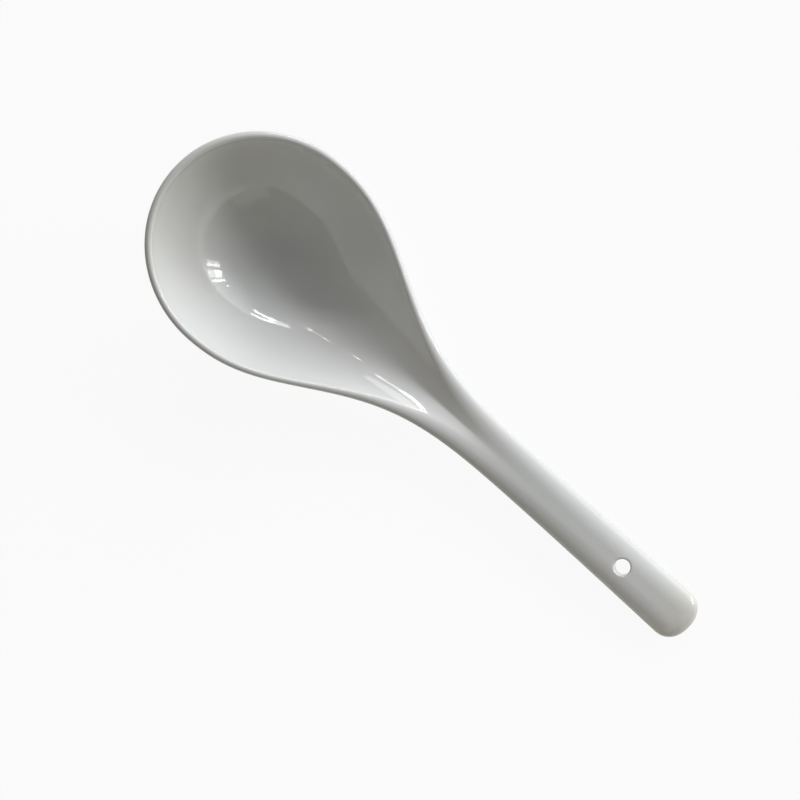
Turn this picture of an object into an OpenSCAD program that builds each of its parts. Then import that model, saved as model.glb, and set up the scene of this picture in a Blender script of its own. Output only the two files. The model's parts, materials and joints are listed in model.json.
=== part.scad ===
// Glazed ceramic soup ladle: an egg-shaped bowl, a hollowed neck and a handle with a hanging hole

/* [Bowl] */
// Outer width of the bowl across its rim
bowl_width = 90; // [76:1:110]
// Distance from the front lip back to the widest place
bowl_front = 47; // [40:1:60]
// Depth of the hollow below the rim's rounded inner edge
bowl_depth = 35; // [28:1:45]
// Thickness of the rim's lip
rim_lip = 3; // [2.4:0.1:4.5]
// Thickness of the floor under the deepest place
floor_wall = 4; // [3:0.1:6]
// Fullness of the cross-section: low is round, high is pointed
fullness = 0.58; // [0.5:0.02:0.8]
// Depth of the flat ground on the underside where the bowl rests
foot_depth = 0.5; // [0.3:0.1:1]

/* [Neck] */
// Distance from the widest place back to the luted joint
neck_length = 106; // [100:1:130]
// Length over which the plan narrows towards the handle
flare_length = 59; // [50:1:66]
// Length over which the hollow rises and runs out into a groove
hollow_length = 54.5; // [48:0.5:60]
// Length over which the hollow's upright walls lean out into a groove
slant_length = 76; // [66:1:86]
// Length over which the hollow's round floor turns into the groove's valley line
valley_length = 80; // [70:1:90]
// Length over which the thin lip widens into the handle's round shoulders
shoulder_length = 122; // [100:1:140]
// Width over which the edges of the neck's groove roll inwards
groove_roll = 3.5; // [1.5:0.1:5]
// Distance from the widest place to where the rim starts to bend upwards
bend_start = 36; // [20:1:60]
// Length of the upward bend
bend_length = 80; // [50:1:110]

/* [Handle] */
// Angle by which the handle rises from the plane of the rim
handle_rise = 18; // [8:0.5:26]
// Length of the handle from the luted joint to its end
handle_length = 107.5; // [80:0.5:140]
// Width of the handle at its narrowest
handle_width = 18.8; // [16:0.1:24]
// Width of the handle at its end
end_width = 19.9; // [17:0.1:26]
// Thickness of the handle
handle_thickness = 10; // [8:0.1:14]
// How far in from its edges the top of the handle rounds over
shoulder_round = 8; // [4:0.1:9]
// How far below its top the handle is widest
shoulder_drop = 4; // [2.5:0.1:5]
// Length of the rounded end
end_round = 8.3; // [6:0.1:12]
// Squareness of the rounded end: 2 is an ellipse
end_squareness = 2.25; // [2:0.05:3]

/* [Hanging hole] */
// Diameter of the hanging hole
hole_diameter = 6; // [4:0.1:9]
// Distance from the end of the handle to the middle of the hole
hole_setback = 32.7; // [20:0.1:45]
// Radius of the softened mouths of the hole
hole_mouth = 0.8; // [0.5:0.1:1.5]

/* [Luted joint] */
// Thickness of the layer of slip between the neck and the handle
slip_thickness = 0.6; // [0.4:0.1:1.5]

/* [Hidden] */
glaze_white = [0.91, 0.91, 0.89];
slip_white = [0.86, 0.85, 0.81];
$fn = 64;

// Steps of the surface: along the underside, over the lip, down the hollow, along and around
under_steps = 13;
lip_steps = 5;
roll_steps = 3;
hollow_steps = 11;
neck_steps = 22;
front_steps = 32;
bar_steps = 12;
end_steps = 14;
rib_points = 1 + under_steps + lip_steps + roll_steps + hollow_steps;

// Powers of the bell curves that shape the plan, the hollow, its walls and the lip
flare_power = 2.28;
hollow_power = 2.3;
slant_power = 4;
valley_power = 10;
shoulder_power = 4;

// The rim's lip falls away over the first share of its thickness on the outside, the rest on the inside
lip_round = 0.6 * rim_lip;
lip_drop = 0.55 * rim_lip;
lip_roll = rim_lip - lip_round;
// Softness of the hollow's walls: almost upright under the bowl's rim, slanting in the neck's groove
rim_softness = 0.002;
groove_softness = 1;
// The groove's valley line: how much deeper it is dug, how straight its walls are, how far across it bends
valley_depth = 0.45;
valley_fullness = 0.7;
valley_bend = 0.12;
valley_far = sqrt(1 + valley_bend * valley_bend);
valley_span = valley_far - valley_bend;
// Least angle of the hollow's walls, where the groove has run out
least_slope = 0.001;
// Height above the surface at which the rounding of the hole's mouths would run out level
mouth_proud = 0.15 * hole_mouth;
// Least width of the flat between a shoulder and the middle of the section
least_crest = 1;

// Places along the middle line, measured from the front lip
wide_at = bowl_front;
joint_at = wide_at + neck_length;
handle_at = joint_at + slip_thickness;
end_at = handle_at + handle_length;
end_middle = end_at - end_round;
hole_at = end_at - hole_setback;
bend_at = wide_at + bend_start;
bend_radius = bend_length / (handle_rise * PI / 180);
waist_at = bend_at + bend_length;

// Sizes of the section at a place along the middle line
function bell(at, length, power) = exp(-pow(max(at - wide_at, 0) / length, power));
function blend(share, first, last) = first * share + last * (1 - share);
function widening(at) = pow(max(at - waist_at, 0) / (end_middle - waist_at), 2);
function half_width(at) =
    blend(bell(at, flare_length, flare_power), bowl_width, handle_width) / 2
    + widening(at) * (end_width - handle_width) / 2;
function upright_share(at) = bell(at, slant_length, slant_power);
function lip_share(at) = bell(at, shoulder_length, shoulder_power);
function edge_round(at) = blend(lip_share(at), lip_round, shoulder_round);
function edge_drop(at) = blend(lip_share(at), lip_drop, shoulder_drop);
function softness(at) = blend(upright_share(at), rim_softness, groove_softness);
function round_share(at) = bell(at, valley_length, valley_power);
function wall_power(at) = blend(round_share(at), fullness, valley_fullness);
function hollow(at) = bowl_depth * bell(at, hollow_length, hollow_power);
function dug(at) = hollow(at) * (1 + valley_depth * (1 - round_share(at)));
function crest(at, reach) = max(reach - edge_round(at), least_crest);
function roll_width(at) =
    min(blend(upright_share(at), lip_roll, groove_roll), crest(at, half_width(at)) / 2);

// Depth of the hollow as a share, by the distance from its middle as a share, and its slope at the edge
function lift(soft, power) = pow(1 + soft, power) - pow(soft, power);
function straight(across) = (valley_far - sqrt(across * across + valley_bend * valley_bend)) / valley_span;
function dish(at, across) =
    let (
        soft = softness(at),
        power = wall_power(at),
        inward = blend(round_share(at), 1 - across * across, straight(across))
    )
    (pow(inward + soft, power) - pow(soft, power)) / lift(soft, power);
function steepness(at) =
    let (
        soft = softness(at),
        power = wall_power(at),
        start = blend(round_share(at), 2, 1 / (valley_far * valley_span))
    )
    start * power * pow(soft, power - 1) / lift(soft, power);
function wall_slope(at) =
    let (half_hollow = crest(at, half_width(at)) - roll_width(at))
    max(atan(dug(at) / half_hollow * steepness(at)), least_slope);
function roll_fall(at) = roll_width(at) * tan(wall_slope(at) / 2);
function underside(at) =
    hollow(at) + roll_fall(at)
    + blend(bell(at, hollow_length, hollow_power), floor_wall, handle_thickness);

// Reach of the outline from the middle line at the rounded front and at the rounded end
function front_reach(turn) =
    1 / sqrt(pow(cos(turn) / bowl_front, 2) + pow(2 * sin(turn) / bowl_width, 2));
function end_reach(turn) =
    pow(
        pow(abs(cos(turn)) / end_round, end_squareness)
        + pow(abs(sin(turn)) / half_width(end_middle), end_squareness),
        -1 / end_squareness
    );

// The middle line seen from the side: level along the rim, then an arc, then the straight handle
function lean(at) = min(max(at - bend_at, 0), bend_length) / bend_length * handle_rise;
function past_bend(at) = max(at - waist_at, 0);
function line_x(at) =
    min(at, bend_at) + bend_radius * sin(lean(at)) + past_bend(at) * cos(handle_rise);
function line_z(at) = bend_radius * (1 - cos(lean(at))) + past_bend(at) * sin(handle_rise);

// A point outwards from the middle line by a turn about its upright, and up from it
function place(at, turn, out, up) = [
    line_x(at) + out * cos(turn) * cos(lean(at)) - up * sin(lean(at)),
    out * sin(turn),
    line_z(at) + out * cos(turn) * sin(lean(at)) + up * cos(lean(at))
];

// Half a section: from the middle of the underside, out to the edge, over the lip, down into the hollow
function rib(at, turn, reach) =
    let (
        drop = edge_drop(at),
        top = crest(at, reach),
        slope = wall_slope(at),
        roll = roll_width(at),
        fall = roll_fall(at)
    )
    concat(
        [
            for (i = [0 : under_steps])
            let (swing = 90 * i / under_steps, deep = pow(cos(swing), 2 * fullness))
            place(at, turn, reach * sin(swing), -drop - (underside(at) - drop) * deep)
        ],
        [
            for (i = [1 : lip_steps])
            let (swing = 90 * i / lip_steps)
            place(at, turn, top + (reach - top) * cos(swing), drop * (sin(swing) - 1))
        ],
        [
            for (i = [1 : roll_steps])
            let (swing = slope * i / roll_steps, share = sin(swing / 2) / sin(slope / 2))
            place(at, turn, top - roll * sin(swing) / sin(slope), -fall * share * share)
        ],
        [
            for (i = [1 : hollow_steps])
            let (across = cos(90 * i / hollow_steps))
            place(at, turn, (top - roll) * across, -fall - dug(at) * dish(at, across))
        ]
    );

// A spoke is a place, a turn, a reach and the number of the column that it shares with its opposite
function side_spoke(at, turn, column) = [at, turn, half_width(at), column];
function neck_place(i) = wide_at + neck_length * i / neck_steps;
function bar_place(i) = handle_at + (end_middle - handle_at) * i / bar_steps;

bowl_spokes = concat(
    [for (i = [neck_steps : -1 : 1]) side_spoke(neck_place(i), 90, i)],
    [
        for (i = [0 : front_steps])
        let (turn = 90 + 180 * i / front_steps)
        [wide_at, turn, front_reach(turn), 0]
    ],
    [for (i = [1 : neck_steps]) side_spoke(neck_place(i), 270, i)]
);
slip_spokes = [
    side_spoke(joint_at, 270, 0),
    side_spoke(handle_at, 270, 1),
    side_spoke(handle_at, 90, 1),
    side_spoke(joint_at, 90, 0)
];
handle_spokes = concat(
    [for (i = [0 : bar_steps - 1]) side_spoke(bar_place(i), 270, i)],
    [
        for (i = [0 : end_steps])
        let (turn = 270 + 180 * i / end_steps)
        [end_middle, turn, end_reach(turn), bar_steps]
    ],
    [for (i = [bar_steps - 1 : -1 : 0]) side_spoke(bar_place(i), 90, i)]
);

// Lowest line of the bowl and of the handle's end, which both touch what the ladle lies on
bowl_low = [
    for (i = [0 : neck_steps])
    let (at = neck_place(i))
    place(at, 90, 0, foot_depth - underside(at))
];
end_rib = rib(end_middle, 0, end_round);
front_rib = rib(wide_at, 180, bowl_front);
end_low = [for (i = [0 : under_steps]) end_rib[i]];
rest_slope = min([
    for (tip = end_low)
    max([for (low = bowl_low) (tip.z - low.z) / (tip.x - low.x)])
]);
rest_tilt = atan(rest_slope);
function tilted_x(point) = point.x * cos(rest_tilt) + point.z * sin(rest_tilt);
function tilted_z(point) = point.z * cos(rest_tilt) - point.x * sin(rest_tilt);
front_x = min([for (point = front_rib) tilted_x(point)]);
back_x = max([for (point = end_rib) tilted_x(point)]);
rest_z = min([for (point = end_low) tilted_z(point)]);

// Lay the ladle down on its bowl and its handle's end, centred over the origin
module at_rest() {
    translate([-(front_x + back_x) / 2, 0, -rest_z])
    rotate([0, rest_tilt, 0])
    children();
}

// A triangle, left out where two of its corners are one point
function facet(a, b, c) = a == b || b == c || c == a ? [] : [[a, b, c]];

// The point that all the spokes of one column share, at the underside or at the top
function shared_point(spokes, ribs, column, i) =
    [for (j = [0 : len(spokes) - 1]) if (spokes[j][3] == column) ribs[j][i]][0];

// A closed solid through a fan of spokes, cut square across at each pair of spokes in ends
module solid_through(spokes, columns, gaps, ends) {
    ribs = [for (spoke = spokes) rib(spoke[0], spoke[1], spoke[2])];
    last = rib_points - 1;
    inner = rib_points - 2;
    keel = [for (column = [0 : columns - 1]) shared_point(spokes, ribs, column, 0)];
    crown = [for (column = [0 : columns - 1]) shared_point(spokes, ribs, column, last)];
    skin = [for (one = ribs) for (i = [1 : inner]) one[i]];
    function number(j, i) =
        i == 0 ? spokes[j][3] : i == last ? columns + spokes[j][3] : 2 * columns + j * inner + i - 1;
    bands = [
        for (j = [0 : len(spokes) - 2])
        if (len(search(j, gaps)) == 0)
        for (i = [0 : last - 1])
        for (one = concat(
            facet(number(j, i), number(j, i + 1), number(j + 1, i + 1)),
            facet(number(j, i), number(j + 1, i + 1), number(j + 1, i))
        ))
        one
    ];
    caps = [
        for (pair = ends)
        for (i = [0 : ceil(last / 2) - 1])
        for (one = concat(
            facet(number(pair[0], i), number(pair[0], last - i), number(pair[0], last - i - 1)),
            facet(number(pair[0], i), number(pair[0], last - i - 1), number(pair[0], i + 1)),
            facet(number(pair[1], i), number(pair[1], i + 1), number(pair[1], last - i - 1)),
            facet(number(pair[1], i), number(pair[1], last - i - 1), number(pair[1], last - i))
        ))
        one
    ];
    polyhedron(points = concat(keel, crown, skin), faces = concat(bands, caps), convexity = 6);
}

// Corner of the hole's turned profile that rounds one mouth, with its edge at the origin
module mouth_profile() {
    difference() {
        translate([0, -hole_mouth]) square([hole_mouth, 2 * hole_mouth]);
        translate([hole_mouth, -hole_mouth]) circle(hole_mouth);
    }
}

module hanging_hole() {
    translate([line_x(hole_at), 0, line_z(hole_at)])
    rotate([0, -lean(hole_at), 0])
    rotate_extrude() {
        translate([0, -handle_thickness - hole_mouth])
        square([hole_diameter / 2, handle_thickness + 2 * hole_mouth]);
        translate([hole_diameter / 2, mouth_proud]) mouth_profile();
        translate([hole_diameter / 2, -handle_thickness - mouth_proud]) mirror([0, 1]) mouth_profile();
    }
}

// What lies below the surface that the ladle rests on
module ground() {
    translate([-end_at, -bowl_width, -bowl_depth]) cube([2 * end_at, 2 * bowl_width, bowl_depth]);
}

module bowl() {
    color(glaze_white)
    difference() {
        at_rest() solid_through(bowl_spokes, neck_steps + 1, [], [[0, len(bowl_spokes) - 1]]);
        ground();
    }
}

module slip_joint() {
    color(slip_white)
    at_rest() solid_through(slip_spokes, 2, [1], [[0, 3], [2, 1]]);
}

module handle() {
    color(glaze_white)
    at_rest()
    difference() {
        solid_through(handle_spokes, bar_steps + 1, [], [[0, len(handle_spokes) - 1]]);
        hanging_hole();
    }
}

bowl();
slip_joint();
handle();
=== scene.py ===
"""A white glazed ceramic soup ladle: bowl, luted joint and handle, dressed over the solids."""

import json
import logging
import math
from dataclasses import dataclass, fields, replace
from enum import Enum
from functools import cached_property
from typing import Any, Mapping, Optional, Union

import bmesh
import bpy
import numpy as np
from mathutils import Matrix, Vector


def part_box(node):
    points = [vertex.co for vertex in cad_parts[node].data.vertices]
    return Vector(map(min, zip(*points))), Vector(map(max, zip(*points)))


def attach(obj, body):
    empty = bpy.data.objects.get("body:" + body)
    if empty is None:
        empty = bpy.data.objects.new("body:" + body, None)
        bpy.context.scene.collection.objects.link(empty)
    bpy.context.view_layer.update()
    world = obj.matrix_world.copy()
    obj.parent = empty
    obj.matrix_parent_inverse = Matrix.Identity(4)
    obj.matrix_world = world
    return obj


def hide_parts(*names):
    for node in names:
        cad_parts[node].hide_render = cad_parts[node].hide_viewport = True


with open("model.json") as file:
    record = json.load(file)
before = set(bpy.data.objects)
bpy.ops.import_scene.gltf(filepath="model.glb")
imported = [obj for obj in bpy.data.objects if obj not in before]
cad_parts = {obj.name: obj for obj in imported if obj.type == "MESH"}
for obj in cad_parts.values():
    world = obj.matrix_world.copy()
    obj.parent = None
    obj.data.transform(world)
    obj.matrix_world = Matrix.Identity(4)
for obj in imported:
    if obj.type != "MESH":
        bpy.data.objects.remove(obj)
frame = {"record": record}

LOG = logging.getLogger("ladle")
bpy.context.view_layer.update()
QUARTER_TURN = math.pi / 2
LEFT = QUARTER_TURN
RIGHT = 3 * QUARTER_TURN
MM_PER_METRE = 1000
WELD = 1e-6
SHARP_EDGE = math.radians(40)
WHITE = (1.0, 1.0, 1.0, 1.0)
WARM = (1.0, 0.93, 0.78, 1.0)
COOL = (0.96, 0.985, 1.0, 1.0)

Colour = tuple[float, float, float, float]
Fade = tuple[float, float]


class Field:
    """A value in a node tree, on which Python's operators work by adding Math nodes."""

    def __init__(self, nodes: "Nodes", socket: bpy.types.NodeSocket) -> None:
        """Wraps a socket of the tree that nodes adds to."""
        self.nodes = nodes
        self.socket = socket

    def __add__(self, other: "Number") -> "Field":
        """self + other"""
        return self.nodes.math("ADD", self, other)

    def __radd__(self, other: float) -> "Field":
        """other + self"""
        return self.nodes.math("ADD", other, self)

    def __sub__(self, other: "Number") -> "Field":
        """self - other"""
        return self.nodes.math("SUBTRACT", self, other)

    def __rsub__(self, other: float) -> "Field":
        """other - self"""
        return self.nodes.math("SUBTRACT", other, self)

    def __mul__(self, other: "Number") -> "Field":
        """self * other"""
        return self.nodes.math("MULTIPLY", self, other)

    def __rmul__(self, other: float) -> "Field":
        """other * self"""
        return self.nodes.math("MULTIPLY", other, self)

    def __truediv__(self, other: "Number") -> "Field":
        """self / other"""
        return self.nodes.math("DIVIDE", self, other)

    def __pow__(self, other: "Number") -> "Field":
        """self ** other"""
        return self.nodes.math("POWER", self, other)

    def __neg__(self) -> "Field":
        """-self"""
        return self.nodes.math("MULTIPLY", self, -1.0)


Number = Union[float, np.ndarray, Field]


class Nodes:
    """Adds nodes to one tree and links them."""

    def __init__(self, tree: bpy.types.NodeTree) -> None:
        """Starts on a tree."""
        self.tree = tree

    def add(
        self,
        kind: str,
        settings: Optional[Mapping[str, Any]] = None,
        sockets: Optional[Mapping[Union[str, int], Any]] = None,
    ) -> bpy.types.Node:
        """Adds one node.

        Args:
            kind: The node's type.
            settings: Its properties, which are set first.
            sockets: Values or links of its inputs, by name or number; a list links each item.

        Returns:
            The new node.
        """
        node = self.tree.nodes.new(kind)
        for name, value in (settings or {}).items():
            setattr(node, name, value)
        for key, value in (sockets or {}).items():
            for item in value if isinstance(value, list) else [value]:
                self._feed(node.inputs[key], item)
        return node

    def math(self, operation: str, *values: Number) -> Field:
        """Adds one Math node and returns its value."""
        node = self.add("ShaderNodeMath", {"operation": operation}, dict(enumerate(values)))
        return Field(self, node.outputs[0])

    def value(self, node: bpy.types.Node, output: Union[str, int] = 0) -> Field:
        """The value of one output of a node."""
        return Field(self, node.outputs[output])

    def parts(self, vector: bpy.types.NodeSocket) -> tuple[Field, Field, Field]:
        """The three values of a vector."""
        node = self.add("ShaderNodeSeparateXYZ", sockets={0: vector})
        return self.value(node, 0), self.value(node, 1), self.value(node, 2)

    def smooth(self, value: Field, start: float, end: float) -> Field:
        """A mask that eases from 0 where the value is start to 1 where it is end."""
        low, high = (start, end) if start < end else (end, start)
        node = self.add(
            "ShaderNodeMapRange",
            {"interpolation_type": "SMOOTHSTEP"},
            {
                "Value": value,
                "From Min": low,
                "From Max": high,
                "To Min": float(start > end),
                "To Max": float(start < end),
            },
        )
        return self.value(node)

    def mix(self, share: Number, first: Any, second: Any) -> bpy.types.NodeSocket:
        """A colour between two colours.

        Args:
            share: How much of the second colour there is, from 0 to 1.
            first: A colour or a link to one.
            second: A colour or a link to one.

        Returns:
            The socket of the mixed colour.
        """
        node = self.add("ShaderNodeMix", {"data_type": "RGBA"}, {"Factor": share})
        inputs = {item.identifier: item for item in node.inputs}
        self._feed(inputs["A_Color"], first)
        self._feed(inputs["B_Color"], second)
        return next(item for item in node.outputs if item.identifier == "Result_Color")

    def _feed(self, socket: bpy.types.NodeSocket, value: Any) -> None:
        """Links a value to a socket, or sets it there."""
        if isinstance(value, Field):
            self.tree.links.new(value.socket, socket)
        elif isinstance(value, bpy.types.NodeSocket):
            self.tree.links.new(value, socket)
        else:
            socket.default_value = value


def cleared(owner: Union[bpy.types.Material, bpy.types.World]) -> Nodes:
    """The node tree of a material or of the room, emptied."""
    owner.use_nodes = True
    owner.node_tree.nodes.clear()
    return Nodes(owner.node_tree)


class Maths(Enum):
    """A function that works on fields in a node tree and on plain numbers."""

    SINE = "sin"
    COSINE = "cos"
    TANGENT = "tan"
    ARCTANGENT = "arctan"
    EXPONENT = "exp"
    ABSOLUTE = "abs"
    SIGN = "sign"
    MINIMUM = "minimum"
    MAXIMUM = "maximum"

    def __call__(self, *values: Number) -> Number:
        """The function's value, from a Math node if any of the values is in a tree."""
        nodes = next((value.nodes for value in values if isinstance(value, Field)), None)
        return nodes.math(self.name, *values) if nodes else getattr(np, self.value)(*values)


def within(value: Number, low: Number, high: Number) -> Number:
    """The value, kept between low and high."""
    return Maths.MINIMUM(Maths.MAXIMUM(value, low), high)


def between(share: Number, first: Number, last: Number) -> Number:
    """The first value where share is 1, easing to the last where it is 0."""
    return first * share + last * (1.0 - share)


@dataclass(frozen=True)
class RibSteps:
    """Steps along half a section: the underside, the lip, the lip's inner edge, the hollow."""

    under: int
    lip: int
    roll: int
    hollow: int

    @property
    def total(self) -> int:
        """All the steps from the keel to the middle of the hollow."""
        return self.under + self.lip + self.roll + self.hollow

    def shares(self, step: Number) -> list[Number]:
        """How far each of the four stretches has gone at a step, from 0 to 1."""
        found = []
        start = 0
        for count in (self.under, self.lip, self.roll, self.hollow):
            found.append(within((step - float(start)) / float(count), 0.0, 1.0))
            start += count
        return found


@dataclass(frozen=True)
class Dish:
    """The hollow's form across: a round floor in the bowl, a valley line in the groove."""

    softness: Number
    round_floor: Number
    fullness: Number

    VALLEY_FULLNESS = 0.7
    VALLEY_BEND = 0.12
    VALLEY_FAR = math.hypot(1.0, VALLEY_BEND)
    VALLEY_SPAN = VALLEY_FAR - VALLEY_BEND

    @cached_property
    def power(self) -> Number:
        """Power of the wall's curve, which is straighter where the floor is a valley line."""
        return between(self.round_floor, self.fullness, self.VALLEY_FULLNESS)

    @cached_property
    def edge(self) -> Number:
        """Where the wall's curve begins."""
        return self.softness**self.power

    @cached_property
    def lift(self) -> Number:
        """How far the wall's curve goes."""
        return (1.0 + self.softness) ** self.power - self.edge

    @cached_property
    def steepness(self) -> Number:
        """Slope of the depth at the hollow's edge."""
        start = between(self.round_floor, 2.0, 1.0 / (self.VALLEY_FAR * self.VALLEY_SPAN))
        return start * self.power * self.softness ** (self.power - 1.0) / self.lift

    def depth(self, across: Number) -> Number:
        """Depth as a share, by the distance from the middle as a share of the half width."""
        square = across * across
        straight = (self.VALLEY_FAR - (square + self.VALLEY_BEND**2) ** 0.5) / self.VALLEY_SPAN
        inward = between(self.round_floor, 1.0 - square, straight)
        return ((inward + self.softness) ** self.power - self.edge) / self.lift


@dataclass(frozen=True)
class Section:
    """The sizes of the ladle's section at one place along it."""

    round_over: Number
    drop: Number
    slope: Number
    roll: Number
    fall: Number
    hollow: Number
    dish: Dish
    under: Number
    fullness: Number

    def crest(self, reach: Number) -> Number:
        """Distance from the middle to the highest line of the lip."""
        return Maths.MAXIMUM(reach - self.round_over, LadleShape.LEAST_CREST)

    def rib(self, reach: Number, step: Number, steps: RibSteps) -> tuple[Number, Number]:
        """A point on half the section.

        Args:
            reach: Distance from the middle to the outline.
            step: How many steps from the keel.
            steps: How the steps are shared out.

        Returns:
            The distances outwards and upwards.
        """
        under, lip, roll, hollow = steps.shares(step)
        crest = self.crest(reach)
        swing = under * QUARTER_TURN
        over = lip * QUARTER_TURN
        across = Maths.COSINE(hollow * QUARTER_TURN)
        rolled = Maths.SINE(roll * self.slope / 2.0) / Maths.SINE(self.slope / 2.0)
        deep = Maths.MAXIMUM(Maths.COSINE(swing), 0.0) ** (2.0 * self.fullness)
        out = (
            reach * Maths.SINE(swing)
            - (reach - crest) * (1.0 - Maths.COSINE(over))
            - self.roll * (Maths.SINE(roll * self.slope) / Maths.SINE(self.slope))
            - (crest - self.roll) * (1.0 - across)
        )
        up = (
            (self.drop - self.under) * deep
            + self.drop * (Maths.SINE(over) - 1.0)
            - self.fall * rolled * rolled
            - self.hollow * self.dish.depth(across)
        )
        return out, up

    def top_height(self, reach: Number, across: np.ndarray) -> np.ndarray:
        """Height of the closed top, where no hollow is left, at a distance from the middle."""
        crest = self.crest(reach)
        share = within((np.abs(across) - crest) / (reach - crest), 0.0, 1.0)
        return self.drop * (np.sqrt(1.0 - share * share) - 1.0)

    def under_height(self, reach: Number, across: np.ndarray) -> np.ndarray:
        """Height of the underside at a distance across from the middle."""
        share = within(np.abs(across) / reach, 0.0, 1.0)
        return -self.drop - (self.under - self.drop) * (1.0 - share * share) ** self.fullness


@dataclass(frozen=True)
class LadleShape:
    """The rule of the ladle's whole surface, in metres along its middle line from the front lip.

    The sizes are plain numbers, or fields where a node tree holds the rule.
    """

    bowl_width: Number = 0.090
    bowl_front: Number = 0.047
    bowl_depth: Number = 0.035
    rim_lip: Number = 0.003
    floor_wall: Number = 0.004
    fullness: Number = 0.58
    neck_length: Number = 0.106
    flare_length: Number = 0.059
    hollow_length: Number = 0.0545
    slant_length: Number = 0.076
    valley_length: Number = 0.080
    shoulder_length: Number = 0.122
    groove_roll: Number = 0.0035
    bend_start: Number = 0.036
    bend_length: Number = 0.080
    handle_rise: Number = math.radians(18)
    handle_length: Number = 0.1075
    handle_width: Number = 0.0188
    end_width: Number = 0.0199
    handle_thickness: Number = 0.010
    shoulder_round: Number = 0.008
    shoulder_drop: Number = 0.004
    end_round: Number = 0.0083
    hole_setback: Number = 0.0327
    slip_thickness: Number = 0.0006
    rest_tilt: Number = 0.0
    rest_x: Number = 0.0
    rest_z: Number = 0.0

    FLARE_POWER = 2.28
    HOLLOW_POWER = 2.3
    SLANT_POWER = 4.0
    VALLEY_POWER = 10.0
    VALLEY_DEPTH = 0.45
    SHOULDER_POWER = 4.0
    END_SQUARENESS = 2.25
    LIP_ROUND = 0.6
    LIP_DROP = 0.55
    RIM_SOFTNESS = 0.002
    GROOVE_SOFTNESS = 1.0
    LEAST_SLOPE = math.radians(0.001)
    LEAST_CREST = 0.001

    @cached_property
    def wide_at(self) -> Number:
        """Place where the bowl is widest."""
        return self.bowl_front

    @cached_property
    def joint_at(self) -> Number:
        """Place where the neck ends and the slip begins."""
        return self.wide_at + self.neck_length

    @cached_property
    def handle_at(self) -> Number:
        """Place where the handle begins."""
        return self.joint_at + self.slip_thickness

    @cached_property
    def end_at(self) -> Number:
        """Place of the handle's end."""
        return self.handle_at + self.handle_length

    @cached_property
    def end_middle(self) -> Number:
        """Place that the handle's rounded end turns about."""
        return self.end_at - self.end_round

    @cached_property
    def hole_at(self) -> Number:
        """Place of the hanging hole."""
        return self.end_at - self.hole_setback

    @cached_property
    def bend_at(self) -> Number:
        """Place where the rim starts to bend upwards."""
        return self.wide_at + self.bend_start

    @cached_property
    def waist_at(self) -> Number:
        """Place where the bend ends."""
        return self.bend_at + self.bend_length

    def laid_by(self, hole: Mapping[str, Any]) -> "LadleShape":
        """The same ladle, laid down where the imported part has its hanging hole.

        Args:
            hole: The hole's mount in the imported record.

        Returns:
            A shape whose rest_tilt, rest_x and rest_z are set.
        """
        axis = hole["axis"]
        tilt = self.handle_rise + math.atan2(axis[0], axis[2])
        x, _, z = self.place(self.hole_at, QUARTER_TURN, 0.0, -self.handle_thickness / 2)
        level = replace(self, rest_tilt=tilt)
        x, _, z = level.laid(x, 0.0, z)
        hole_x, _, hole_z = hole["pos_m"]
        return replace(level, rest_x=float(hole_x - x), rest_z=float(hole_z - z))

    def bell(self, at: Number, length: Number, power: float) -> Number:
        """A share that is 1 up to the widest place and falls off behind it."""
        return Maths.EXPONENT(-((Maths.MAXIMUM(at - self.wide_at, 0.0) / length) ** power))

    def half_width(self, at: Number) -> Number:
        """Distance from the middle line to the outline at a place."""
        flare = self.bell(at, self.flare_length, self.FLARE_POWER)
        past = Maths.MAXIMUM(at - self.waist_at, 0.0) / (self.end_middle - self.waist_at)
        return (
            between(flare, self.bowl_width, self.handle_width)
            + past * past * (self.end_width - self.handle_width)
        ) / 2.0

    def section(self, at: Number) -> Section:
        """The sizes of the section at a place."""
        lip = self.bell(at, self.shoulder_length, self.SHOULDER_POWER)
        upright = self.bell(at, self.slant_length, self.SLANT_POWER)
        deep = self.bell(at, self.hollow_length, self.HOLLOW_POWER)
        hollow = self.bowl_depth * deep
        round_floor = self.bell(at, self.valley_length, self.VALLEY_POWER)
        dug = hollow * (1.0 + self.VALLEY_DEPTH * (1.0 - round_floor))
        round_over = between(lip, self.rim_lip * self.LIP_ROUND, self.shoulder_round)
        softness = between(upright, self.RIM_SOFTNESS, self.GROOVE_SOFTNESS)
        dish = Dish(softness, round_floor, self.fullness)
        crest = Maths.MAXIMUM(self.half_width(at) - round_over, self.LEAST_CREST)
        roll = between(upright, self.rim_lip * (1.0 - self.LIP_ROUND), self.groove_roll)
        roll = Maths.MINIMUM(roll, crest / 2.0)
        slope = Maths.ARCTANGENT(dug / (crest - roll) * dish.steepness)
        slope = Maths.MAXIMUM(slope, self.LEAST_SLOPE)
        fall = roll * Maths.TANGENT(slope / 2.0)
        return Section(
            round_over=round_over,
            drop=between(lip, self.rim_lip * self.LIP_DROP, self.shoulder_drop),
            slope=slope,
            roll=roll,
            fall=fall,
            hollow=dug,
            dish=dish,
            under=hollow + fall + between(deep, self.floor_wall, self.handle_thickness),
            fullness=self.fullness,
        )

    def front_reach(self, turn: Number) -> Number:
        """Distance from the bowl's middle to its round front, by a turn about the middle."""
        along = Maths.COSINE(turn) / self.bowl_front
        across = 2.0 * Maths.SINE(turn) / self.bowl_width
        return (along * along + across * across) ** -0.5

    def end_reach(self, turn: np.ndarray) -> np.ndarray:
        """Distance from the middle of the handle's end to its outline, by a turn about it."""
        along = np.abs(np.cos(turn)) / self.end_round
        across = np.abs(np.sin(turn)) / self.half_width(self.end_middle)
        power = self.END_SQUARENESS
        return (along**power + across**power) ** (-1.0 / power)

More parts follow.
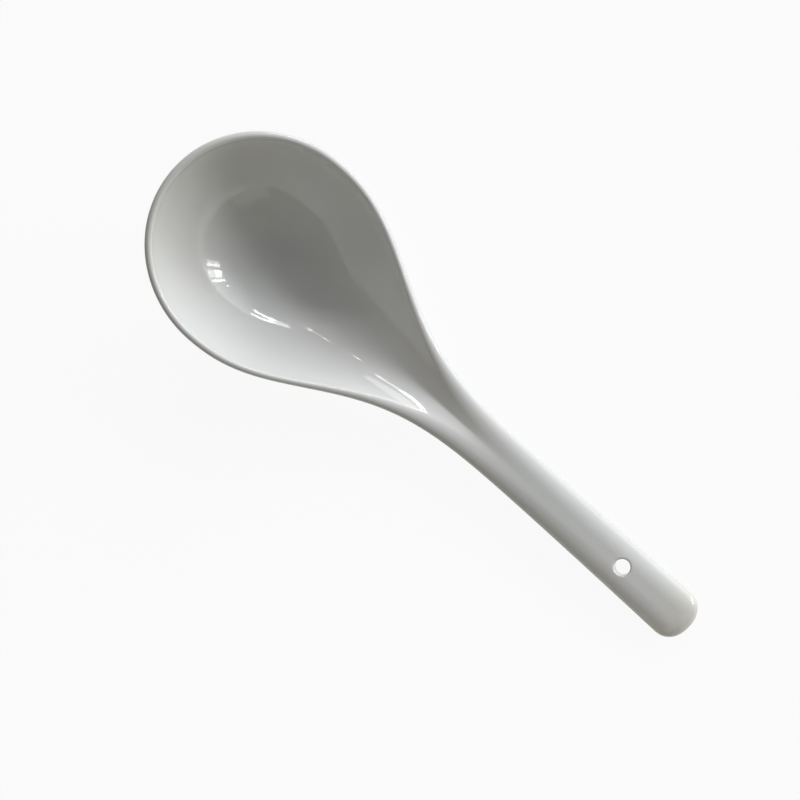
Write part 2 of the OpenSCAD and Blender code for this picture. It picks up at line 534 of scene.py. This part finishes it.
    def place(self, at: Number, turn: Number, out: Number, up: Number) -> tuple[Number, ...]:
        """A point by the middle line, with the rim level.

        Args:
            at: Place along the middle line.
            turn: Turn about the line's upright; a half turn points to the front.
            out: Distance outwards from the line.
            up: Distance upwards from the line.

        Returns:
            Its x, y and z.
        """
        lean = within((at - self.bend_at) / self.bend_length, 0.0, 1.0) * self.handle_rise
        radius = self.bend_length / self.handle_rise
        past = Maths.MAXIMUM(at - self.waist_at, 0.0)
        rise, run = Maths.SINE(lean), Maths.COSINE(lean)
        ahead = out * Maths.COSINE(turn)
        x = Maths.MINIMUM(at, self.bend_at) + radius * rise + past * Maths.COSINE(self.handle_rise)
        z = radius * (1.0 - run) + past * Maths.SINE(self.handle_rise)
        return x + ahead * run - up * rise, out * Maths.SINE(turn), z + ahead * rise + up * run

    def laid(self, x: Number, y: Number, z: Number) -> tuple[Number, ...]:
        """A point of the level ladle, where it is when the ladle lies at rest."""
        run, rise = Maths.COSINE(self.rest_tilt), Maths.SINE(self.rest_tilt)
        return x * run + z * rise + self.rest_x, y, z * run - x * rise + self.rest_z

    def points(
        self, at: np.ndarray, turn: np.ndarray, reach: np.ndarray, steps: RibSteps
    ) -> np.ndarray:
        """Ribs of the surface, one for each place.

        Args:
            at: Places along the middle line.
            turn: The turn of each rib.
            reach: The reach of each rib.
            steps: Steps along a rib.

        Returns:
            Points by rib and step.
        """
        at, turn, reach = (np.asarray(item, float)[:, None] for item in (at, turn, reach))
        step = np.arange(steps.total + 1, dtype=float)[None, :]
        out, up = self.section(at).rib(reach, step, steps)
        return self.stand(*self.place(at, turn, out, up))

    def sides(self, at: np.ndarray, steps: RibSteps) -> list[np.ndarray]:
        """Ribs of the ladle's two halves behind the bowl.

        Args:
            at: Places along the middle line.
            steps: Steps along a rib.

        Returns:
            Points by rib and step, to the left and to the right.
        """
        reach = self.half_width(at)
        return [self.points(at, np.full_like(at, turn), reach, steps) for turn in (LEFT, RIGHT)]

    def stand(self, x: Number, y: Number, z: Number) -> np.ndarray:
        """Points of the level ladle, laid down, as one array."""
        return np.stack(np.broadcast_arrays(*self.laid(x, y, z)), axis=-1)


class Skin:
    """A mesh that grows sheet by sheet, whose sheets meet but are not yet welded."""

    def __init__(self) -> None:
        """Starts empty."""
        self.points: list[np.ndarray] = []
        self.faces: list[tuple[int, ...]] = []
        self.count = 0

    def sheet(self, points: np.ndarray, keep: Optional[np.ndarray] = None) -> None:
        """Adds a sheet of four-sided faces.

        Args:
            points: Points by row and column.
            keep: Which faces to keep, by row and column; all of them if it is left out.
        """
        rows, columns = points.shape[:2]
        number = self.count + np.arange(rows * columns).reshape(rows, columns)
        corners = np.stack(
            [number[:-1, :-1], number[:-1, 1:], number[1:, 1:], number[1:, :-1]], axis=-1
        )
        chosen = corners.reshape(-1, 4) if keep is None else corners[keep]
        self.faces.extend(tuple(face) for face in chosen.tolist())
        self.points.append(points.reshape(-1, 3))
        self.count += rows * columns

    def section(self, left: np.ndarray, right: np.ndarray) -> None:
        """Closes the ladle across, between the two halves of one section."""
        half = (len(left) - 1) // 2
        for side in (left, right):
            self.sheet(np.stack([side[: half + 1], side[::-1][: half + 1]]))

    def mesh(self, name: str, low: Vector, high: Vector) -> bpy.types.Mesh:
        """All the sheets as one mesh, kept inside a box.

        Args:
            name: The mesh's name.
            low: The box's lowest corner.
            high: The box's highest corner.

        Returns:
            The mesh, with the doubles where sheets meet.
        """
        points = np.clip(np.concatenate(self.points), np.array(low), np.array(high))
        made = bpy.data.meshes.new(name)
        made.from_pydata(points.tolist(), [], self.faces)
        return made


@dataclass(frozen=True)
class Glaze:
    """A glossy white glaze over fired clay, with the faint unevenness of a dipped coat, and a
    painted warm reflection of the surroundings at the bowl's front and the handle's end.
    """

    name: str
    white: Colour = (0.80, 0.81, 0.805, 1.0)
    cool: Colour = (0.775, 0.795, 0.795, 1.0)
    # The creamy colour below is a painted warm reflection of the surroundings, not a tint of the
    # glaze.
    cream: Colour = (0.79, 0.765, 0.69, 1.0)
    speck: Colour = (0.22, 0.19, 0.16, 1.0)
    clay: Colour = (0.66, 0.61, 0.53, 1.0)
    refraction: float = 1.5
    gloss: float = 0.05
    clay_roughness: float = 0.75
    haze_scale: float = 40.0
    haze_swing: float = 0.04
    haze_offset: float = 0.01
    ripple_depth: float = 0.00012
    ripple_strength: float = 0.35
    wave_scale: float = 55.0
    grain_scale: float = 900.0
    grain_share: float = 0.02
    cloud_scale: float = 26.0
    cloud_fade: Fade = (0.42, 0.66)
    # Where the painted warm reflection fades in: at the handle's end and at the bowl's front.
    end_painted_reflection: Fade = (0.108, 0.126)
    end_painted_reflection_share: float = 0.7
    front_painted_reflection: Fade = (-0.085, -0.12)
    front_painted_reflection_share: float = 0.35
    speck_scale: float = 160.0
    speck_fade: Fade = (0.07, 0.03)
    speck_choice: Fade = (0.985, 0.99)
    speck_share: float = 0.8
    foot_height: Fade = (0.0006, 0.0002)
    foot_back: Fade = (-0.02, -0.04)

    def material(self) -> bpy.types.Material:
        """Makes the material."""
        made = bpy.data.materials.new(self.name)
        nodes = cleared(made)
        where = nodes.add("ShaderNodeTexCoord").outputs["Object"]
        x, _, z = nodes.parts(where)
        bare = nodes.smooth(z, *self.foot_height) * nodes.smooth(x, *self.foot_back)
        bump = nodes.add(
            "ShaderNodeBump",
            sockets={
                "Strength": self.ripple_strength,
                "Distance": self.ripple_depth,
                "Height": self._ripple(nodes, where),
            },
        )
        shader = nodes.add(
            "ShaderNodeBsdfPrincipled",
            sockets={
                "Base Color": self._colour(nodes, where, bare),
                "Roughness": self._roughness(nodes, where, bare),
                "IOR": self.refraction,
                "Normal": bump.outputs["Normal"],
            },
        )
        nodes.add("ShaderNodeOutputMaterial", sockets={"Surface": shader.outputs["BSDF"]})
        return made

    @staticmethod
    def _noise(nodes: Nodes, where: bpy.types.NodeSocket, scale: float, detail: float) -> Field:
        """A smooth random value that changes from place to place."""
        sockets = {"Vector": where, "Scale": scale, "Detail": detail}
        return nodes.value(nodes.add("ShaderNodeTexNoise", sockets=sockets))

    def _ripple(self, nodes: Nodes, where: bpy.types.NodeSocket) -> Field:
        """Height of the coat: slow waves from dipping and a very fine grain."""
        wave = self._noise(nodes, where, self.wave_scale, detail=1.0)
        grain = self._noise(nodes, where, self.grain_scale, detail=1.0)
        return wave + grain * self.grain_share

    def _colour(
        self, nodes: Nodes, where: bpy.types.NodeSocket, bare: Field
    ) -> bpy.types.NodeSocket:
        """White with cool clouds, a painted warm reflection at the bowl's front and the handle's
        end, a few specks, and bare clay on the foot.
        """
        x, _, _ = nodes.parts(where)
        cloud = self._noise(nodes, where, self.cloud_scale, detail=3.0)
        colour = nodes.mix(nodes.smooth(cloud, *self.cloud_fade), self.white, self.cool)
        # Painted warm reflection: a creamy tint put into the colour at the handle's end and the
        # bowl's front, where warm surroundings would shine in the glaze.
        painted_reflection_mask = (
            nodes.smooth(x, *self.end_painted_reflection) * self.end_painted_reflection_share
            + nodes.smooth(x, *self.front_painted_reflection) * self.front_painted_reflection_share
        )
        colour = nodes.mix(painted_reflection_mask, colour, self.cream)
        cells = nodes.add(
            "ShaderNodeTexVoronoi",
            {"feature": "F1"},
            {"Vector": where, "Scale": self.speck_scale},
        )
        choice, _, _ = nodes.parts(cells.outputs["Color"])
        dot = nodes.smooth(nodes.value(cells, "Distance"), *self.speck_fade)
        speck = dot * nodes.smooth(choice, *self.speck_choice)
        colour = nodes.mix(speck * self.speck_share, colour, self.speck)
        return nodes.mix(bare, colour, self.clay)

    def _roughness(self, nodes: Nodes, where: bpy.types.NodeSocket, bare: Field) -> Field:
        """Gloss of the coat, a little uneven, and of the bare clay."""
        haze = self._noise(nodes, where, self.haze_scale, detail=2.0)
        glossy = haze * self.haze_swing + (self.gloss - self.haze_offset)
        return glossy + bare * (self.clay_roughness - self.gloss)


class Piece:
    """What every piece of the ladle has: a CAD node that it stands for."""

    BODY = "root"

    @staticmethod
    def closed(made: bpy.types.Mesh) -> bpy.types.Mesh:
        """Merges a mesh's doubles, turns its faces outwards and shades it smooth."""
        work = bmesh.new()
        work.from_mesh(made)
        bmesh.ops.remove_doubles(work, verts=work.verts, dist=WELD)
        bmesh.ops.recalc_face_normals(work, faces=work.faces)
        work.to_mesh(made)
        work.free()
        made.shade_smooth()
        made.set_sharp_from_angle(angle=SHARP_EDGE)
        return made

    @classmethod
    def mounted(cls, piece: bpy.types.Object, node: str, slot: str) -> bpy.types.Object:
        """Stands a piece for its CAD node.

        Args:
            piece: The finished object.
            node: The node that it replaces.
            slot: Not used.

        Returns:
            The same object.
        """
        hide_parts(node)
        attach(piece, cls.BODY)
        LOG.info("%s: %d faces", piece.name, len(piece.data.polygons))
        return piece


def linked(name: str, made: bpy.types.Mesh) -> bpy.types.Object:
    """A new object in the scene that shows a mesh."""
    piece = bpy.data.objects.new(name, made)
    bpy.context.scene.collection.objects.link(piece)
    return piece


@dataclass
class Bowl(Piece):
    """The bowl and the neck that grows out of it, made by one node tree from the ladle's rule."""

    shape: LadleShape
    glaze: bpy.types.Material
    front_steps: int = 128
    neck_steps: int = 110
    steps: RibSteps = RibSteps(under=44, lip=14, roll=10, hollow=56)

    def build(self) -> bpy.types.Object:
        """Makes the bowl and stands it for its node.

        Returns:
            The finished object.
        """
        piece = linked("glazed_bowl", bpy.data.meshes.new("glazed_bowl"))
        low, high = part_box("bowl")
        tree, inputs = self._tree()
        modifier = piece.modifiers.new("bowl_rule", "NODES")
        modifier.node_group = tree
        values = {item.name: getattr(self.shape, item.name) for item in fields(self.shape)}
        values.update(low_corner=low, high_corner=high, glaze=self.glaze)
        for name, value in values.items():
            modifier[inputs[name]] = value
        graph = bpy.context.evaluated_depsgraph_get()
        made = bpy.data.meshes.new_from_object(piece.evaluated_get(graph), depsgraph=graph)
        piece.modifiers.clear()
        piece.data = self.closed(made)
        return self.mounted(piece, "bowl", "glaze")

    def _tree(self) -> tuple[bpy.types.NodeTree, dict[str, str]]:
        """Builds the node tree that lays a net over the bowl.

        Returns:
            The tree, and the identifier of each input by the name of its size.
        """
        tree = bpy.data.node_groups.new("bowl_rule", "GeometryNodeTree")
        tree.is_modifier = True
        kinds = {item.name: "NodeSocketFloat" for item in fields(self.shape)}
        kinds.update(low_corner="NodeSocketVector", high_corner="NodeSocketVector")
        kinds.update(glaze="NodeSocketMaterial")
        identifiers = {
            name: tree.interface.new_socket(
                name.replace("_", " ").capitalize(), in_out="INPUT", socket_type=kind
            ).identifier
            for name, kind in kinds.items()
        }
        tree.interface.new_socket("Bowl", in_out="OUTPUT", socket_type="NodeSocketGeometry")
        nodes = Nodes(tree)
        entry = nodes.add("NodeGroupInput")
        given = dict(zip(kinds, entry.outputs))
        sizes = {item.name: Field(nodes, given[item.name]) for item in fields(self.shape)}
        surface = self._surface(nodes, LadleShape(**sizes))
        spot = nodes.add("ShaderNodeCombineXYZ", sockets=dict(enumerate(surface)))
        for operation, corner in (("MAXIMUM", "low_corner"), ("MINIMUM", "high_corner")):
            spot = nodes.add(
                "ShaderNodeVectorMath",
                {"operation": operation},
                {0: spot.outputs[0], 1: given[corner]},
            )
        placed = nodes.add(
            "GeometryNodeSetPosition",
            sockets={"Geometry": self._net(nodes), "Position": spot.outputs[0]},
        )
        welded = nodes.add(
            "GeometryNodeMergeByDistance",
            sockets={"Geometry": placed.outputs[0], "Distance": WELD},
        )
        real = nodes.add("GeometryNodeRealizeInstances", sockets={"Geometry": welded.outputs[0]})
        dressed = nodes.add(
            "GeometryNodeSetMaterial",
            sockets={"Geometry": real.outputs[0], "Material": given["glaze"]},
        )
        nodes.add("NodeGroupOutput", sockets={"Bowl": dressed.outputs[0]})
        return tree, identifiers

    def _net(self, nodes: Nodes) -> bpy.types.NodeSocket:
        """A flat net with one square a step, and above it the strip that closes the neck's end."""
        skin = self._grid(nodes, 2 * self.neck_steps + self.front_steps, self.steps.total)
        strip = self._grid(nodes, self.steps.total, 1)
        lifted = nodes.add(
            "GeometryNodeSetPosition", sockets={"Geometry": strip, "Offset": (0.0, 0.0, 1.0)}
        )
        joined = nodes.add(
            "GeometryNodeJoinGeometry", sockets={"Geometry": [skin, lifted.outputs[0]]}
        )
        return joined.outputs[0]

    @staticmethod
    def _grid(nodes: Nodes, columns: int, rows: int) -> bpy.types.NodeSocket:
        """A flat net of unit squares round the origin."""
        node = nodes.add(
            "GeometryNodeMeshGrid",
            sockets={
                "Size X": float(columns),
                "Size Y": float(rows),
                "Vertices X": columns + 1,
                "Vertices Y": rows + 1,
            },
        )
        return node.outputs["Mesh"]

    def _surface(self, nodes: Nodes, shape: LadleShape) -> tuple[Number, ...]:
        """Where each point of the net goes on the ladle."""
        net = nodes.add("GeometryNodeInputPosition").outputs[0]
        column, row, strip = nodes.parts(net)
        half = self.steps.total / 2
        aside = Maths.ABSOLUTE(column)
        step = row + half + strip * (2.0 * row * (half - aside) - row)
        last = self.neck_steps + self.front_steps / 2
        spoke = aside + strip * (last - aside)
        turned = Maths.MINIMUM(spoke / (self.front_steps / 2), 1.0) * Maths.SIGN(column)
        turn = math.pi + turned * QUARTER_TURN
        back = Maths.MAXIMUM(spoke - self.front_steps / 2, 0.0) / float(self.neck_steps)
        at = shape.wide_at + back * shape.neck_length
        reach = shape.front_reach(turn) * shape.half_width(at) / (shape.bowl_width / 2.0)
        out, up = shape.section(at).rib(reach, step, self.steps)
        return shape.laid(*shape.place(at, turn, out, up))


@dataclass
class LutedJoint(Piece):
    """The thin layer of slip between the neck and the handle, under the same glaze."""

    shape: LadleShape
    glaze: bpy.types.Material
    steps: RibSteps = RibSteps(under=44, lip=24, roll=6, hollow=14)

    def build(self) -> bpy.types.Object:
        """Makes the joint and stands it for its node.

        Returns:
            The finished object.
        """
        at = np.array([self.shape.joint_at, self.shape.handle_at])
        sides = self.shape.sides(at, self.steps)
        skin = Skin()
        for side in sides:
            skin.sheet(side)
        for end in (0, 1):
            skin.section(sides[0][end], sides[1][end])
        made = self.closed(skin.mesh("luted_joint", *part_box("slip_joint")))
        made.materials.append(self.glaze)
        return self.mounted(linked("luted_joint", made), "slip_joint", "slip")


class Face(Enum):
    """The two faces that the hole goes through."""

    TOP = "top"
    UNDER = "underside"


@dataclass
class Handle(Piece):
    """The straight rounded handle with its hanging hole."""

    shape: LadleShape
    glaze: bpy.types.Material
    hole_radius: float
    hole_mouth: float = 0.0008
    patch_reach: float = 0.0065
    before_steps: int = 70
    patch_steps: int = 20
    after_steps: int = 18
    end_steps: int = 72
    patch_ribs: int = 18
    mouth_steps: int = 7
    ring_steps: int = 8
    wall_steps: int = 6
    steps: RibSteps = RibSteps(under=40, lip=24, roll=4, hollow=6)

    def build(self) -> bpy.types.Object:
        """Makes the handle and stands it for its node.

        Returns:
            The finished object.
        """
        skin = Skin()
        bar = self._bar_places()
        first, last = self.before_steps, self.before_steps + self.patch_steps
        total = self.steps.total
        keep = np.ones((len(bar) - 1, total), bool)
        keep[first:last, : self.patch_ribs] = False
        keep[first:last, total - self.patch_ribs :] = False
        sides = self.shape.sides(bar, self.steps)
        for side in sides:
            skin.sheet(side, keep)
        skin.section(sides[0][0], sides[1][0])
        skin.sheet(self._end())
        self._drill(skin, bar[first : last + 1])
        made = self.closed(skin.mesh("glazed_handle", *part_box("handle")))
        made.materials.append(self.glaze)
        return self.mounted(linked("glazed_handle", made), "handle", "glaze")

    def _bar_places(self) -> np.ndarray:
        """Places of the ribs along the straight bar, with an even stretch round the hole."""
        hole = self.shape.hole_at
        before = np.linspace(self.shape.handle_at, hole - self.patch_reach, self.before_steps + 1)
        patch = np.linspace(hole - self.patch_reach, hole + self.patch_reach, self.patch_steps + 1)
        after = np.linspace(hole + self.patch_reach, self.shape.end_middle, self.after_steps + 1)
        return np.concatenate([before, patch[1:], after[1:]])

    def _end(self) -> np.ndarray:
        """Ribs of the rounded end."""
        turn = np.linspace(RIGHT, RIGHT + math.pi, self.end_steps + 1)
        at = np.full_like(turn, self.shape.end_middle)
        return self.shape.points(at, turn, self.shape.end_reach(turn), self.steps)

    def _edge(self, bar: np.ndarray, ribs: np.ndarray) -> np.ndarray:
        """The edge of the stretch round the hole, as places along and across.

        Args:
            bar: Places of the ribs of that stretch.
            ribs: Steps along a rib from the edge to the middle.

        Returns:
            A closed ring of points.
        """
        def across(at: float) -> np.ndarray:
            """Distances from the middle of a rib's steps."""
            out, _ = self.shape.section(at).rib(self.shape.half_width(at), ribs, self.steps)
            return out

        far, near = across(bar[-1]), across(bar[0])
        side = np.array([across(at)[0] for at in bar])
        inner = 2 * len(ribs) - 3
        along = [bar, np.full(inner, bar[-1]), bar[::-1], np.full(inner, bar[0])]
        out = [
            side,
            np.concatenate([far[1:], -far[-2:0:-1]]),
            -side[::-1],
            np.concatenate([-near[1:], near[-2:0:-1]]),
        ]
        ring = np.stack([np.concatenate(along), np.concatenate(out)], axis=-1)
        return np.concatenate([ring, ring[:1]])

    def _drill(self, skin: Skin, bar: np.ndarray) -> None:
        """Adds the hole, its rounded mouths and the surface round it.

        Args:
            skin: The handle's mesh so far.
            bar: Places of the ribs of the stretch round the hole.
        """
        total = self.steps.total
        top = self._edge(bar, np.arange(total - self.patch_ribs, total + 1, dtype=float))
        under = self._edge(bar, np.arange(self.patch_ribs, -1, -1, dtype=float))
        rings = []
        for edge, face in ((top, Face.TOP), (under, Face.UNDER)):
            sheet = self._rings(edge, face)
            skin.sheet(sheet)
            rings.append(sheet[0])
        share = np.linspace(0.0, 1.0, self.wall_steps + 1)[:, None, None]
        skin.sheet(rings[0][None] * (1 - share) + rings[1][None] * share)

    def _rings(self, edge: np.ndarray, face: Face) -> np.ndarray:
        """Rings from the hole's wall, over its mouth, out to the edge of the stretch round it.

        Args:
            edge: The edge, as places along and across.
            face: The top or the underside.

        Returns:
            Points by ring and place.
        """
        middle = np.array([self.shape.hole_at, 0.0])
        away = edge - middle
        reach = np.linalg.norm(away, axis=-1)
        swing = np.linspace(0.0, QUARTER_TURN, self.mouth_steps + 1)
        mouth = self.hole_radius + self.hole_mouth * (1.0 - np.cos(swing))
        share = np.linspace(0.0, 1.0, self.ring_steps + 1)[1:, None]
        outer = mouth[-1] * (1.0 - share) + reach[None, :] * share
        radius = np.concatenate([np.broadcast_to(mouth[:, None], (len(mouth), len(edge))), outer])
        sunk = np.concatenate([self.hole_mouth * (1.0 - np.sin(swing)), np.zeros(self.ring_steps)])
        spot = middle + away[None] / reach[None, :, None] * radius[..., None]
        at, across = spot[..., 0], spot[..., 1]
        section, half = self.shape.section(at), self.shape.half_width(at)
        if face is Face.TOP:
            up = section.top_height(half, across) - sunk[:, None]
        else:
            up = section.under_height(half, across) + sunk[:, None]
        return self.shape.stand(*self.shape.place(at, LEFT, across, up))


def heading(azimuth: float, elevation: float) -> Vector:
    """A direction, from degrees about the upright from +X and degrees above the floor."""
    turn, rise = math.radians(azimuth), math.radians(elevation)
    level = math.cos(rise)
    return Vector((level * math.cos(turn), level * math.sin(turn), math.sin(rise)))


@dataclass(frozen=True)
class Lamp:
    """One lamp that looks at the bowl; its place, size and lean are angles seen from there."""

    name: str
    azimuth: float
    elevation: float
    width: float
    height: float
    brightness: float
    lean: float = 0.0
    distance: float = 2.0
    colour: Colour = WHITE

    def build(self, middle: Vector) -> None:
        """Hangs the lamp.

        Args:
            middle: What it looks at.
        """
        data = bpy.data.lights.new(self.name, "AREA")
        data.shape = "RECTANGLE"
        data.size, data.size_y = self._across(self.width), self._across(self.height)
        data.energy = self.brightness * math.pi * data.size * data.size_y
        data.color = self.colour[:3]
        lamp = bpy.data.objects.new(self.name, data)
        bpy.context.scene.collection.objects.link(lamp)
        back = heading(self.azimuth, self.elevation)
        lamp.location = middle + back * self.distance
        lean = Matrix.Rotation(math.radians(self.lean), 3, "Z")
        lamp.rotation_euler = (back.to_track_quat("Z", "Y").to_matrix() @ lean).to_euler()

    def _across(self, angle: float) -> float:
        """A length that is seen at an angle, in degrees, from where the lamp looks."""
        return 2.0 * self.distance * math.tan(math.radians(angle) / 2)


@dataclass(frozen=True)
class Glow:
    """A soft patch of light in the room, brightest in its middle and gone at its edge."""

    azimuth: float
    elevation: float
    core: float
    edge: float
    strength: float
    colour: Colour = WHITE

    def light(self, nodes: Nodes, way: bpy.types.NodeSocket) -> bpy.types.Node:
        """The patch's own light.

        Args:
            nodes: The room's tree.
            way: The direction that is looked in.

        Returns:
            The node that gives the light.
        """
        facing = nodes.add(
            "ShaderNodeVectorMath",
            {"operation": "DOT_PRODUCT"},
            {0: way, 1: heading(self.azimuth, self.elevation)},
        )
        near, far = (math.cos(math.radians(angle)) for angle in (self.core, self.edge))
        strength = nodes.smooth(nodes.value(facing, "Value"), far, near) * self.strength
        light = {"Color": self.colour, "Strength": strength}
        return nodes.add("ShaderNodeBackground", sockets=light)


@dataclass(frozen=True)
class Studio:
    """The pale floor, the room's soft light and the panes that shine in the glaze."""

    floor_half: float = 60.0
    floor_colour: Colour = (0.82, 0.82, 0.81, 1.0)
    backdrop_share: float = 0.93
    wall_strength: float = 0.96
    wall_full: float = math.sin(math.radians(3))
    wall_top: float = math.sin(math.radians(9))
    room_colour: Colour = WARM
    room_strength: float = 0.01
    glows: tuple[Glow, ...] = (
        Glow(72.0, 9.0, 6.0, 38.0, 2.45, COOL),
        Glow(72.0, 5.0, 4.0, 26.0, 1.5, COOL),
        Glow(106.0, 45.0, 4.0, 36.0, 0.70),
        Glow(182.0, 14.0, 4.0, 40.0, 0.16),
        Glow(240.0, 16.0, 4.0, 44.0, 0.28, WARM),
    )
    lamps: tuple[Lamp, ...] = (
        Lamp("window_pane_1", 46.0, 19.0, 1.8, 13.0, 6.0),
        Lamp("window_pane_2", 49.2, 19.0, 2.6, 14.0, 13.0),
        Lamp("window_pane_3", 57.5, 15.5, 7.5, 6.0, 7.0),
        Lamp("window_pane_4", 57.5, 23.0, 7.5, 8.0, 14.0),
        Lamp("window_pane_5", 64.4, 21.5, 2.2, 14.0, 15.0),
        Lamp("window_latch", 70.8, 28.0, 1.6, 1.8, 14.0),
        Lamp("low_strip", 109.4, 30.6, 18.5, 1.8, 20.0, lean=12.7),
        Lamp("low_tail", 125.0, 32.7, 8.8, 1.8, 8.0, lean=4.8),
        Lamp("high_strip", 109.2, 34.5, 18.0, 1.8, 20.0, lean=6.1),
        Lamp("high_tail", 125.0, 34.8, 8.3, 1.8, 8.0, lean=-3.0),
        Lamp("far_lamp", 141.3, 37.7, 1.2, 1.4, 14.0),
        Lamp("tall_pane", 113.0, 16.0, 28.0, 20.0, 3.2),
        Lamp("side_fill", 306.0, 32.0, 60.0, 56.0, 0.26, distance=0.42, colour=WARM),
        Lamp("handle_fill", 326.0, 9.0, 34.0, 20.0, 0.62, distance=0.30),
    )

    def build(self, middle: Vector) -> None:
        """Sets up the floor, the room and the lamps.

        Args:
            middle: What the lamps look at.
        """
        self._floor()
        self._light_room()
        for lamp in self.lamps:
            lamp.build(middle)
        LOG.info("%d lamps", len(self.lamps))

    def _floor(self) -> None:
        """Lays the floor under the ladle."""
        half = self.floor_half
        made = bpy.data.meshes.new("floor")
        corners = [(-half, -half, 0.0), (half, -half, 0.0), (half, half, 0.0), (-half, half, 0.0)]
        made.from_pydata(corners, [], [(0, 1, 2, 3)])
        made.materials.append(self._floor_finish())
        linked("floor", made)

    def _floor_finish(self) -> bpy.types.Material:
        """A matt pale floor that shows almost white, with the ladle's shadow left on it."""
        made = bpy.data.materials.new("floor_paper")
        nodes = cleared(made)
        paper = nodes.add("ShaderNodeBsdfDiffuse", sockets={"Color": self.floor_colour})
        white = nodes.add("ShaderNodeEmission", sockets={"Strength": 1.0})
        mixed = nodes.add(
            "ShaderNodeMixShader",
            sockets={
                0: self._seen(nodes) * self.backdrop_share,
                1: paper.outputs[0],
                2: white.outputs[0],
            },
        )
        nodes.add("ShaderNodeOutputMaterial", sockets={"Surface": mixed.outputs[0]})
        return made

    @staticmethod
    def _seen(nodes: Nodes) -> Field:
        """1 for what is looked at, also in the glaze, and 0 for what only lights the ladle."""
        path = nodes.add("ShaderNodeLightPath")
        seen = (
            nodes.value(path, "Is Camera Ray")
            + nodes.value(path, "Is Glossy Ray")
            + nodes.value(path, "Is Transmission Ray")
        )
        return within(seen, 0.0, 1.0)

    def _light_room(self) -> None:
        """Fills the room with its soft patches of light, before a low white wall."""
        world = bpy.data.worlds.new("room")
        nodes = cleared(world)
        way = nodes.add("ShaderNodeTexCoord").outputs["Generated"]
        light = nodes.add(
            "ShaderNodeBackground",
            sockets={"Color": self.room_colour, "Strength": self.room_strength},
        )
        _, _, up = nodes.parts(way)
        shown = self._seen(nodes) * nodes.smooth(up, self.wall_top, self.wall_full)
        wall = nodes.add(
            "ShaderNodeBackground",
            sockets={"Color": WHITE, "Strength": shown * self.wall_strength},
        )
        for more in (wall, *(glow.light(nodes, way) for glow in self.glows)):
            both = {0: light.outputs[0], 1: more.outputs[0]}
            light = nodes.add("ShaderNodeAddShader", sockets=both)
        nodes.add("ShaderNodeOutputWorld", sockets={"Surface": light.outputs[0]})
        bpy.context.scene.world = world


@dataclass(frozen=True)
class PhotoCamera:
    """The camera, placed by the level ladle: over the rim, with the ladle across the picture."""

    eye: tuple[float, float, float] = (0.0598, 0.040, 0.5455)
    target: tuple[float, float, float] = (0.1231, -0.0092, 0.002)
    turn: float = math.radians(40.5)
    lens: float = 63.78
    nearest: float = 0.01
    farthest: float = 200.0

    def build(self, shape: LadleShape) -> None:
        """Makes the camera and gives it to the scene.

        Args:
            shape: The ladle, which says how the rim lies.
        """
        eye, target = (Vector(shape.laid(*spot)) for spot in (self.eye, self.target))
        tilt = Matrix.Rotation(shape.rest_tilt, 3, "Y")
        back = (eye - target).normalized()
        along = tilt @ Vector((1.0, 0.0, 0.0))
        along = (along - back * along.dot(back)).normalized()
        across = back.cross(along)
        right = along * math.cos(self.turn) + across * math.sin(self.turn)
        up = back.cross(right)
        data = bpy.data.cameras.new("camera")
        data.lens = self.lens
        data.clip_start, data.clip_end = self.nearest, self.farthest
        camera = bpy.data.objects.new("camera", data)
        bpy.context.scene.collection.objects.link(camera)
        facing = Matrix((right, up, back)).transposed().to_4x4()
        camera.matrix_world = Matrix.Translation(eye) @ facing
        bpy.context.scene.camera = camera


def main() -> None:
    """Builds the ladle, the studio and the camera in order."""
    logging.basicConfig(level=logging.INFO, format="%(name)s: %(message)s")
    bpy.context.scene.view_settings.view_transform = "Standard"
    mounts = {mount["name"]: mount for mount in frame["record"]["mounts"]}
    hole = mounts["hanging_hole"]
    shape = LadleShape().laid_by(hole)
    PhotoCamera().build(shape)
    glaze = Glaze("white_glaze").material()
    slip = Glaze("slip_glaze").material()
    Bowl(shape, glaze).build()
    LutedJoint(shape, slip).build()
    Handle(shape, glaze, hole_radius=hole["dims"]["r_mm"] / MM_PER_METRE).build()
    Studio().build(Vector(shape.laid(float(shape.wide_at), 0.0, 0.0)))


if __name__ == "__main__":
    main()
